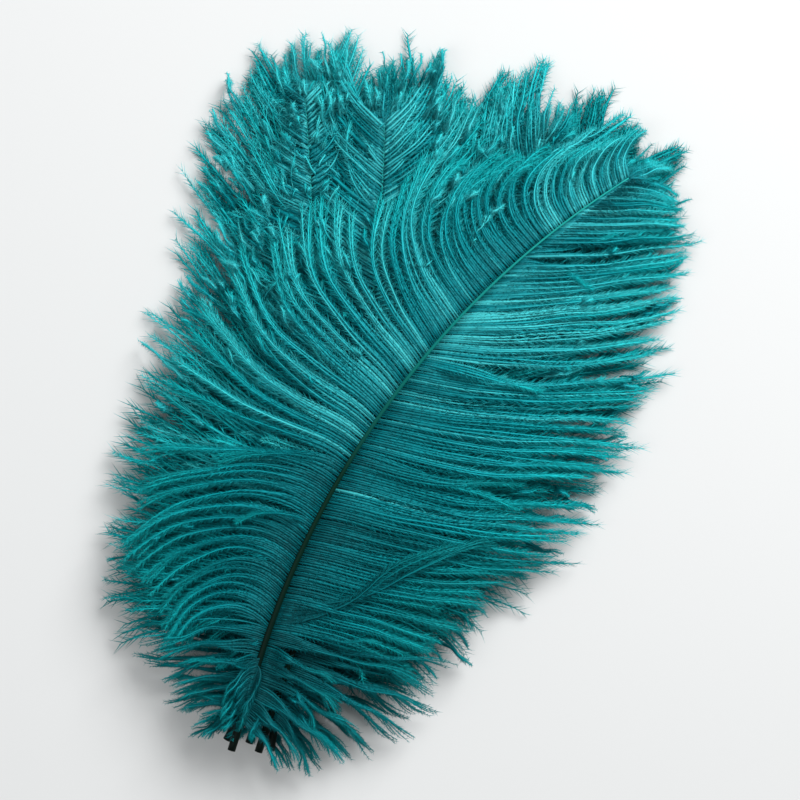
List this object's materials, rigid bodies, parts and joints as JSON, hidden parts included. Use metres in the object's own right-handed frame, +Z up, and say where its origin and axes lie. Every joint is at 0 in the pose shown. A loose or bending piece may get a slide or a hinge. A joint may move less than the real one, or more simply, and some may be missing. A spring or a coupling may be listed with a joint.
{
  "type": "ostrich plumes",
  "caption": "Loose, fanned stack of dyed ostrich plumes lying flat, each with a cut quill, a curved shaft, soft vanes, a tip tuft and down at its foot.",
  "frame": {"origin": "on the table under the upright axis about which the plumes fan out, where their quills cross; the lowest plume's flat underside lies there", "axes": "+Z up from the table; +Y up the fan, from the cut quills towards the tips; +X to the right, seen from above, the side that the topmost plume bends to"},
  "size_m": [0.2948, 0.3885, 0.0414],
  "materials": {
    "quill_keratin": "satin",
    "dyed_barbs": "matte",
    "dyed_down": "matte"
  },
  "bodies": {
    "plume_1": {"plume_1_shaft": "quill_keratin", "plume_1_vane_left": "dyed_barbs", "plume_1_vane_right": "dyed_barbs", "plume_1_tip_tuft": "dyed_barbs", "plume_1_down_left": "dyed_down", "plume_1_down_right": "dyed_down"},
    "plume_2": {"plume_2_shaft": "quill_keratin", "plume_2_vane_left": "dyed_barbs", "plume_2_vane_right": "dyed_barbs", "plume_2_tip_tuft": "dyed_barbs", "plume_2_down_left": "dyed_down", "plume_2_down_right": "dyed_down"},
    "plume_3": {"plume_3_shaft": "quill_keratin", "plume_3_vane_left": "dyed_barbs", "plume_3_vane_right": "dyed_barbs", "plume_3_tip_tuft": "dyed_barbs", "plume_3_down_left": "dyed_down", "plume_3_down_right": "dyed_down"},
    "plume_4": {"plume_4_shaft": "quill_keratin", "plume_4_vane_left": "dyed_barbs", "plume_4_vane_right": "dyed_barbs", "plume_4_tip_tuft": "dyed_barbs", "plume_4_down_left": "dyed_down", "plume_4_down_right": "dyed_down"},
    "plume_5": {"plume_5_shaft": "quill_keratin", "plume_5_vane_left": "dyed_barbs", "plume_5_vane_right": "dyed_barbs", "plume_5_tip_tuft": "dyed_barbs", "plume_5_down_left": "dyed_down", "plume_5_down_right": "dyed_down"},
    "plume_6": {"plume_6_shaft": "quill_keratin", "plume_6_vane_left": "dyed_barbs", "plume_6_vane_right": "dyed_barbs", "plume_6_tip_tuft": "dyed_barbs", "plume_6_down_left": "dyed_down", "plume_6_down_right": "dyed_down"}
  },
  "joints": [
    {"name": "plume_2_fan", "type": "hinge", "parent": "plume_1", "child": "plume_2", "pos_m": [0, 0, 0], "axis": [0, 0, 1], "range_deg": [-25, 25]},
    {"name": "plume_3_fan", "type": "hinge", "parent": "plume_1", "child": "plume_3", "pos_m": [0, 0, 0], "axis": [0, 0, 1], "range_deg": [-25, 25]},
    {"name": "plume_4_fan", "type": "hinge", "parent": "plume_1", "child": "plume_4", "pos_m": [0, 0, 0], "axis": [0, 0, 1], "range_deg": [-25, 25]},
    {"name": "plume_5_fan", "type": "hinge", "parent": "plume_1", "child": "plume_5", "pos_m": [0, 0, 0], "axis": [0, 0, 1], "range_deg": [-25, 25]},
    {"name": "plume_6_fan", "type": "hinge", "parent": "plume_1", "child": "plume_6", "pos_m": [0, 0, 0], "axis": [0, 0, 1], "range_deg": [-25, 25]}
  ]
}
